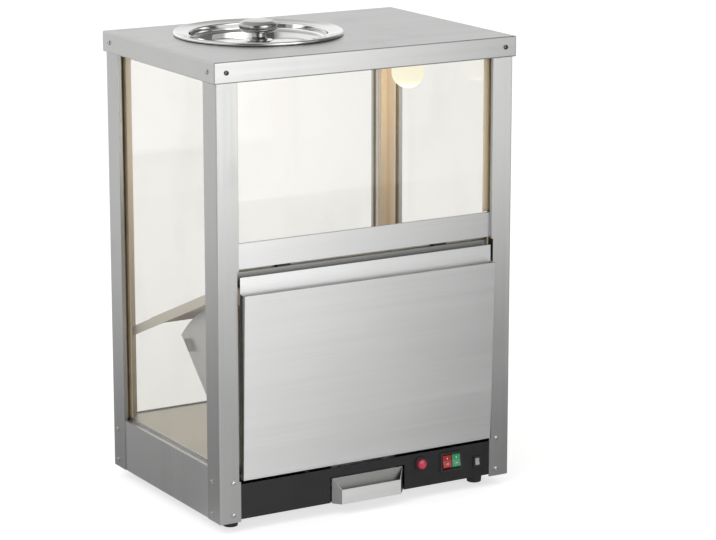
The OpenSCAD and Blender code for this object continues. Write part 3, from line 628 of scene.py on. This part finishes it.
def lid_parts():
    """The lid's dish with a rolled rim, its turned knob, and the collar of the fill port."""
    cap_top_z = node_box("cap")[1].z
    centre = port_centre(cap_top_z)
    lid_low, lid_high = node_box("lid")
    lid_r = (lid_high.x - lid_low.x) / 2
    dish = cap_top_z - lid_low.z
    # Radius of the rolled rim, of the dish's wall and of the hole for the knob's screw
    bead = 2.4
    wall = PORT_R - 1.5
    hole = 2.7
    top = [(hole, -dish + 2 * SHEET, 0), (19, -dish + 2 * SHEET, 1), (20.5, -dish + SHEET, 1),
           (wall - SHEET, -dish + SHEET, 4), (wall - SHEET, 2 * SHEET, 2)]
    bead_arc = [(lid_r - bead + bead * math.sin(t), bead + 0.3 + bead * math.cos(t), 0)
                for t in [math.radians(a) for a in range(-50, 231, 20)]]
    under = [(wall, SHEET, 1), (wall, -dish, 4.5), (hole, -dish, 0)]
    lathe("lid_dish", filleted(top + bead_arc + under), centre, "lid", "steel_polished", 160, closed=True)

    knob_low, knob_high = node_box("lid_knob")
    head = knob_high.z - knob_low.z
    knob = [(2.5, 0, 0), (13, 0, 0.6), (12.2, 1.4, 1), (9.4, 5, 3), (10.2, 10.2, 1.5), (22, 11.4, 3),
            (26, 15, 3), (26, head - 4.1, 3.5), (20, head - 0.6, 6), (0, head, 0)]
    # The knob takes a darker steel than the lid, a painted dark reflection
    lathe("lid_knob_turned", filleted(knob), port_centre(knob_low.z), "lid_knob", "steel_polished", 96,
          finish=polished("knob_painted_dark_steel", (0.45, 0.45, 0.445), 0.08))

    port_low, port_high = node_box("fill_port")
    flange_r = (port_high.x - port_low.x) / 2
    collar = [(PORT_R, -PORT_DEPTH, 0), (PORT_R - 0.9, -PORT_DEPTH + 1.2, 0),
              (PORT_R, -PORT_DEPTH + 2.4, 0.5), (PORT_R, SHEET, 1.1), (flange_r, SHEET, 0.4),
              (flange_r, 0, 0.4), (PORT_R + SHEET, 0, 1.5), (PORT_R + SHEET, -PORT_DEPTH, 0)]
    lathe("port_collar", filleted(collar), centre, "fill_port", "steel_polished", 144, closed=True)


# Windows and seals

def windows():
    for side in ("front", "back", "left", "right"):
        rounded("window_" + side, "pane_" + side, "glass_clear", 0.5)
    rounded("window_seals", "pane_seals", "rubber_black", 0.5)


# Door

def door_parts():
    rounded("door_skin", "door_face", "steel_panel", 0.6, finish=DOOR_STEEL)
    pan = rounded("door_pan", "door_inner_pan", "steel_panel", 0.35)
    low, high = node_box("door_pan")
    channel_height = 30
    # The finger channel behind the top band lies in the shade of the window rail
    refinish(pan, brushed("channel_steel", (0.36, 0.36, 0.35), 0.45, 0),
             lambda spot, normal: spot.y > SHEET + 0.5 and spot.z > high.z - channel_height)
    # The cheeks' outer faces lie in the shade of the posts
    refinish(pan, brushed("cheek_steel", (0.2, 0.2, 0.195), 0.45, 2),
             lambda spot, normal: abs(normal.x) > 0.9 and min(spot.x - low.x, high.x - spot.x) < 1)


# Crumb tray

def tray_parts():
    rounded("crumb_tray", "tray_box", "steel_panel", 0.35)
    pull = rounded("tray_pull", "tray_pull_scoop", "steel_panel", 0.5)
    low, high = node_box("tray_pull")
    rim = 2

    def inside(spot, normal):
        return low.x + rim < spot.x < high.x - rim and spot.y > low.y + rim and spot.z > low.z + rim

    # Painted shade: the faces inside the pull's hollow take a darker steel
    refinish(pull, brushed("pull_hollow_painted_shade", (0.4, 0.4, 0.39), 0.4, 0), inside)


# Switches and pilot lamp

def lamp_lens():
    """Red lens with a ribbed side and a domed end; its axis runs along -y."""
    low, high = node_box("pilot_lamp_lens")
    centre = place((low.x + high.x) / 2, high.y, (low.z + high.z) / 2)
    length = high.y - low.y
    radius = (high.x - low.x) / 2
    dome_rise = 3.2
    dome = length - dome_rise
    rib_count = 18
    rib_depth = 0.035
    arc = [math.radians(a) for a in range(8, 90, 10)]
    outline = [(0, 0), (radius, 0), (radius, dome)]
    outline += [(radius * math.cos(t), dome + dome_rise * math.sin(t)) for t in arc]
    outline.append((0, length))

    def ribbed(angle, r, z):
        if z <= dome - 3 or r <= 2:
            return r, z
        return r * (1 - rib_depth + rib_depth * math.cos(rib_count * angle)), z

    bm = bmesh.new()
    matrix = Matrix.Translation(centre) @ Matrix.Rotation(math.pi / 2, 4, "X")
    turned(bm, outline, matrix, 6 * rib_count, ribbed)
    tidy_turned(bm)
    mesh = to_mesh("pilot_lens_ribbed", bm, 40)
    piece("pilot_lens_ribbed", mesh, "cabinet", "lens_red", ("pilot_lamp_lens",))


def joint(name):
    """What the frame says of a joint."""
    return next(j for j in frame["joints"] if j["name"] == name)


def flat_ring(bm, matrix, outer, inner, height, sides=28):
    """A flat ring that stands on z = 0 of a matrix, in millimetres."""
    rows = []
    for k in range(sides):
        a = 2 * math.pi * k / sides
        turn = Vector((math.cos(a), math.sin(a)))
        rows.append([bm.verts.new(matrix @ (Vector((turn.x * r, turn.y * r, z)) * MM))
                     for r, z in ((outer, 0), (outer, height), (inner, height), (inner, 0))])
    for k in range(sides):
        here, there = rows[k], rows[(k + 1) % len(rows)]
        for i in range(4):
            j = (i + 1) % 4
            bm.faces.new((here[i], here[j], there[j], there[i]))


def slab(bm, matrix, size):
    """A box that stands on z = 0 of a matrix, in millimetres."""
    x, y, z = size
    lift = Matrix.Translation((0, 0, z / 2 * MM))
    bmesh.ops.create_cube(bm, size=MM, matrix=matrix @ lift @ Matrix.Diagonal((x, y, z, 1)))


def rocker_marks(rocker):
    """A bar on a rocker's pressed half and a ring on its raised half."""
    half_swing = math.radians(10)
    joint_spot = Vector(joint(rocker + "_press")["pos_m"])
    pin = Matrix.Translation(joint_spot) @ Matrix.Rotation(-half_swing, 4, "X")
    # The paddle's middle ridge in front of its pin, and half its height
    middle = -6.0
    reach = 10.5
    # The marks stand proud of the paddle and start a little inside it
    proud = 0.12
    sunk = 0.1
    bm = bmesh.new()
    for side, drop in ((1, 0.45), (-1, 0.42)):
        # The paddle's faces leave its middle and lean out by half the swing
        tilt = Matrix.Rotation(math.pi / 2 - side * half_swing, 4, "X")
        spot = Vector((0, middle - drop * reach * math.tan(half_swing), side * drop * reach)) * MM
        face = pin @ Matrix.Translation(spot) @ tilt @ Matrix.Translation((0, 0, -sunk * MM))
        if side > 0:
            slab(bm, face, (0.9, 3.4, proud + sunk))
        else:
            flat_ring(bm, face, 1.7, 1.15, proud + sunk)
    bmesh.ops.recalc_face_normals(bm, faces=bm.faces)
    piece(rocker + "_marks", to_mesh(rocker + "_marks", bm, 30), rocker, "ceramic_white")


def controls():
    bezel = rounded("twin_switch_housing", "twin_switch_bezel", "plastic_black", 0.5)
    # The side of its rim that catches the light
    rim_x = node_box("twin_switch_housing")[0].x
    refinish(bezel, coated("bezel_edge", (0.3, 0.3, 0.27), 0.3, depth=0.1),
             lambda spot, normal: normal.x < -0.5 and spot.x < rim_x + 1 and spot.y < 0)
    rounded("small_switch_housing", "small_switch_bezel", "plastic_black", 0.4)
    rounded("red_rocker", "red_rocker_paddle", "plastic_red", 0.7, 3)
    rounded("green_rocker", "green_rocker_paddle", "plastic_green", 0.7, 3)
    rounded("small_rocker", "small_rocker_paddle", "plastic_grey", 0.5, 3)
    rounded("pilot_lamp_body", "pilot_lamp_bezel", "plastic_black", 0.5)
    lamp_lens()
    rocker_marks("red_rocker")
    rocker_marks("green_rocker")


# Lamp

def bulb():
    """A globe that runs into a neck at its top."""
    low, high = node_box("lamp_bulb")
    radius = (high.x - low.x) / 2
    neck = 9
    centre = place((low.x + high.x) / 2, (low.y + high.y) / 2, low.z + radius)
    top = high.z - low.z - radius
    arc = [math.radians(a) for a in range(0, 140, 6)]
    ball = [(radius * math.sin(t), -radius * math.cos(t)) for t in arc]
    outline = ball + [(neck + 2.4, 17.6), (neck + 0.6, 20), (neck, top), (0, top)]
    lathe("bulb_globe", outline, centre, "lamp_bulb", "bulb_glass", 64)


# Feet and fasteners

def feet():
    """Turned rubber feet with a well for the screw's head, in place of the node's solids."""
    # Radius of the screw's hole and of the well for its head, and the height of the well's floor
    hole, well, seat = 2.6, 5.5, 9
    bm = bmesh.new()
    for low, high in islands("feet"):
        centre = Vector(((low.x + high.x) / 2, (low.y + high.y) / 2, low.z))
        height = (high.z - low.z) / MM
        outline = filleted([(hole, seat, 0), (well, seat, 0), (well, 0, 0.6), (10, 0, 1.2),
                            (11, height, 0.6), (hole, height, 0)])
        turned(bm, outline + outline[:1], Matrix.Translation(centre), 48)
    tidy_turned(bm)
    mesh = to_mesh("rubber_feet", bm)
    mesh.materials.append(coated("foot_rubber", (0.016, 0.016, 0.016), 0.6))
    piece("rubber_feet", mesh, "cabinet", "rubber_black", ("feet",))


def screws(node, name, finish, side_finish=None):
    """Pan-head screws with a cross recess at the places of a node's solids.

    The ones on the cabinet's sides may have a finish of their own.
    """
    head_r = 3.2
    head_h = 2
    shank_r = 1.9
    arm_half = 0.55
    arm_reach = 1.9
    recess = 1.0
    middle = (cad_low + cad_high) / 2

    def crossed(angle, r, z):
        if z < head_h / 2 or r > arm_reach:
            return r, z
        in_arm = min(abs(r * math.sin(angle)), abs(r * math.cos(angle))) < arm_half
        return r, z - (recess if in_arm else 0)

    radii = (2.9, 2.5, 2.2, 1.9, 1.6, 1.3, 1.0, 0.75, 0.5, 0.25, 0)
    dome = [(r, head_h - 0.6 * (r / head_r) ** 2) for r in radii]
    bm = bmesh.new()
    for low, high in islands(node):
        size = high - low
        axis = max(range(2), key=lambda i: size[i])
        outward = Vector((0, 0, 0))
        centre = (low + high) / 2
        outward[axis] = 1 if centre[axis] > middle[axis] else -1
        seat = centre.copy()
        seat[axis] = (high if outward[axis] > 0 else low)[axis] - outward[axis] * head_h * MM
        length = size[axis] / MM - head_h
        side = [(0, -length), (shank_r, -length), (shank_r, 0), (head_r, 0), (head_r, 0.9),
                (head_r - 0.08, 1.2)]
        turn = outward.to_track_quat("Z", "Y").to_matrix().to_4x4()
        # Each screw stopped at its own angle
        spin = Matrix.Rotation(math.radians(37 * centre.x / MM + 11 * centre.z / MM), 4, "Z")
        first = len(bm.faces)
        turned(bm, side + dome, Matrix.Translation(seat) @ turn @ spin, 48, crossed)
        if side_finish and axis == 0:
            bm.faces.ensure_lookup_table()
            for face in bm.faces[first:]:
                face.material_index = 1
    tidy_turned(bm)
    mesh = to_mesh(name, bm, 35)
    mesh.materials.append(finish)
    if side_finish:
        mesh.materials.append(side_finish)
    piece(name, mesh, "cabinet", "screw_steel", (node,))


# CAD nodes whose shape is right keep it and get their finish

NODE_SLOTS = {
    "lid_knob_screw": "screw_steel", "base_pan": "steel_galvanised", "floor_panel": "steel_inner",
    "baffle_rails": "steel_inner", "hinge_bushes": "plastic_bush", "hinge_pins": "screw_steel",
    "door_magnets": "magnet_block", "tray_guides": "steel_galvanised", "crumb_chute": "steel_galvanised",
    "fan_frame": "plastic_black", "fan_motor": "magnet_block", "fan_wheel": "plastic_black",
    "air_duct": "steel_galvanised", "heater_element": "element_steel", "thermostat": "ceramic_white",
    "terminal_block": "ceramic_white", "power_inlet": "plastic_black", "lamp_holder": "ceramic_white",
    "lamp_cap": "bulb_cap_metal", "lamp_conduit": "steel_inner", "foot_screws": "screw_steel",
}


def finish_nodes():
    """Gives the CAD nodes that are still shown their finish."""
    for name, obj in frame["nodes"].items():
        if obj.hide_render:
            continue
        material = MATERIALS[NODE_SLOTS[name]]
        obj.data.materials.clear()
        obj.data.materials.append(material)


cabinet_panels()
cap_top()
lid_parts()
windows()
door_parts()
tray_parts()
controls()
bulb()
feet()
screws("frame_screws", "post_screws", MATERIALS["screw_steel"])
# The skirt's front and back screws are dark grey; the ones on its sides keep the bright screw steel
dark_screw_finish = polished("dark_skirt_screw", (0.12, 0.12, 0.12), 0.3)
screws("cap_screws", "skirt_screws", dark_screw_finish, MATERIALS["screw_steel"])
finish_nodes()


# Floor, world and light

def staged(name, corners):
    """A flat piece of the stage through four corners, in metres."""
    mesh = bpy.data.meshes.new(name)
    mesh.from_pydata(corners, [], [(0, 1, 2, 3)])
    obj = bpy.data.objects.new(name, mesh)
    bpy.context.scene.collection.objects.link(obj)
    return obj


def floor():
    reach = 14
    obj = staged("floor", [(-reach, -reach, 0), (reach, -reach, 0), (reach, reach, 0), (-reach, reach, 0)])
    finish = Finish("floor_paper", (0.75, 0.75, 0.75), roughness=0.9)
    tree = finish.tree
    path = tree.nodes.new("ShaderNodeLightPath")
    x, y, _ = finish.axes()
    # Seen by the camera: pure white away from the object's soft shadow
    paper = tree.nodes.new("ShaderNodeBsdfDiffuse")
    paper.inputs["Color"].default_value = (0.5, 0.5, 0.5, 1)
    lift = tree.nodes.new("ShaderNodeEmission")
    lift.inputs["Strength"].default_value = 0.64
    seen = tree.nodes.new("ShaderNodeAddShader")
    finish.link(paper.outputs[0], seen.inputs[0])
    finish.link(lift.outputs[0], seen.inputs[1])
    # Seen in the steel: brighter away from the object, and in front of it darker to the right
    across = finish.math("ADD", x, finish.math("MULTIPLY", y, 0.59))
    side = finish.ramp(across, -0.5, 0.25, 1.08, 0.41)
    in_front = finish.math("MULTIPLY", finish.ramp(y, -0.5, -2.8, 0.6, 1.65), side)
    behind = finish.ramp(y, 0.0, 1.8, 0.3, 0.95)
    share = finish.ramp(y, -0.2, 0.0)
    front_part = finish.math("MULTIPLY", in_front, finish.math("SUBTRACT", 1.0, share))
    level = finish.math("ADD", front_part, finish.math("MULTIPLY", behind, share))
    mirrored = tree.nodes.new("ShaderNodeEmission")
    finish.link(level, mirrored.inputs["Strength"])
    both = finish.blend(path.outputs["Is Glossy Ray"], seen.outputs[0], mirrored.outputs[0])
    obj.data.materials.append(finish.surface(both))


def front_card():
    """An upright glowing card in front, which only reflections see and the front's panels mirror."""
    left, right = -3.0, 3.2
    y = -2.0
    height = 2.2
    # Its level is dark at the left, bright in the middle and dim at the right
    dark, bright, dim = 0.12, 2.45, 0.6
    rise = (-1.2, 0.3)
    fall = (0.7, 1.5)
    obj = staged("front_card", [(left, y, 0), (left, y, height), (right, y, height), (right, y, 0)])
    obj.visible_camera = False
    obj.visible_diffuse = False
    obj.visible_shadow = False
    obj.visible_transmission = False
    finish = Finish("front_card", (1, 1, 1))
    x = finish.axes()[0]
    glow = finish.tree.nodes.new("ShaderNodeEmission")
    right_part = finish.ramp(x, *fall, bright, dim)
    left_part = finish.ramp(x, *rise, dark / bright, 1.0)
    finish.link(finish.math("MULTIPLY", right_part, left_part), glow.inputs["Strength"])
    obj.data.materials.append(finish.surface(glow.outputs[0]))


def world():
    """White to the camera, an even light to matt surfaces, and a soft room to glossy ones."""
    backdrop = bpy.data.worlds.new("studio")
    bpy.context.scene.world = backdrop
    backdrop.use_nodes = True
    tree = backdrop.node_tree
    background = tree.nodes["Background"]

    def times(a, b):
        return calculate(tree, "MULTIPLY", a, b)

    def plus(a, b):
        return calculate(tree, "ADD", a, b)

    def toward(direction, low, high, to_low, to_high):
        """A soft step on how far a ray points in a direction of the room."""
        dot = tree.nodes.new("ShaderNodeVectorMath")
        dot.operation = "DOT_PRODUCT"
        tree.links.new(coords.outputs["Generated"], dot.inputs[0])
        dot.inputs[1].default_value = Vector(direction).normalized()
        step = tree.nodes.new("ShaderNodeMapRange")
        tree.links.new(dot.outputs["Value"], step.inputs["Value"])
        set_range(step, low, high, to_low, to_high)
        return step.outputs[0]

    coords = tree.nodes.new("ShaderNodeTexCoord")
    path = tree.nodes.new("ShaderNodeLightPath")
    # Brighter at the back left, dimmer overhead, dark at the front left and dim at the right
    room = toward((-0.6, 0.6, 0.0), -0.9, 0.9, 0.5, 1.2)
    overhead = toward((0.0, 0.0, 1.0), 0.3, 0.65, 1.0, 0.6)
    front_left = toward((-0.45, -0.86, 0.2), 0.72, 0.95, 1.0, 0.15)
    right_side = toward((0.85, -0.5, 0.1), 0.35, 0.85, 1.0, 0.4)
    level = times(times(room, overhead), times(front_left, right_side))
    even = 0.85
    glossy = path.outputs["Is Glossy Ray"]
    matt_part = times(calculate(tree, "SUBTRACT", 1.0, glossy), even)
    mixed = plus(times(level, glossy), matt_part)
    camera_ray = path.outputs["Is Camera Ray"]
    final = plus(times(mixed, calculate(tree, "SUBTRACT", 1.0, camera_ray)), camera_ray)
    tree.links.new(final, background.inputs["Strength"])
    background.inputs["Color"].default_value = (1, 1, 1, 1)


def placed(name, data, position, direction=None):
    """Adds a light or camera at a place, in metres, that may look along a direction."""
    obj = bpy.data.objects.new(name, data)
    bpy.context.scene.collection.objects.link(obj)
    obj.location = position
    if direction is not None:
        obj.rotation_mode = "QUATERNION"
        obj.rotation_quaternion = direction.to_track_quat("-Z", "Y")
    return obj


def lights():
    """A soft key light from the left, and the glow that the bulb throws into the cabinet."""
    soft = bpy.data.lights.new("key_softbox", "AREA")
    soft.shape = "SQUARE"
    soft.size = 1.6
    soft.energy = 30
    key_spot = Vector((-2.2, -1.2, 2.4))
    key = placed("key_softbox", soft, key_spot, Vector((0, 0, 0.3)) - key_spot)
    key.visible_glossy = False
    glow = bpy.data.lights.new("bulb_glow", "POINT")
    glow.energy = 0.8
    glow.color = (1.0, 0.84, 0.6)
    glow.shadow_soft_size = 0.02
    low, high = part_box("lamp_bulb")
    below = 0.012
    lamp = placed("bulb_glow", glow, ((low.x + high.x) / 2, (low.y + high.y) / 2, low.z - below))
    lamp.visible_glossy = False


def camera():
    """The photo's viewing angle: the target is a point that lies in the middle of the picture."""
    azimuth = math.radians(30.56)
    elevation = math.radians(13.29)
    distance = 3.893
    target = Vector((0.0756, 0, 0.2911))
    level = math.cos(elevation)
    toward = Vector((math.sin(azimuth) * level, math.cos(azimuth) * level, -math.sin(elevation)))
    data = bpy.data.cameras.new("camera")
    data.sensor_width = 36
    data.lens = 141.3
    bpy.context.scene.camera = placed("camera", data, target - toward * distance, toward)


floor()
front_card()
world()
lights()
camera()
bpy.context.scene.view_settings.view_transform = "Standard"
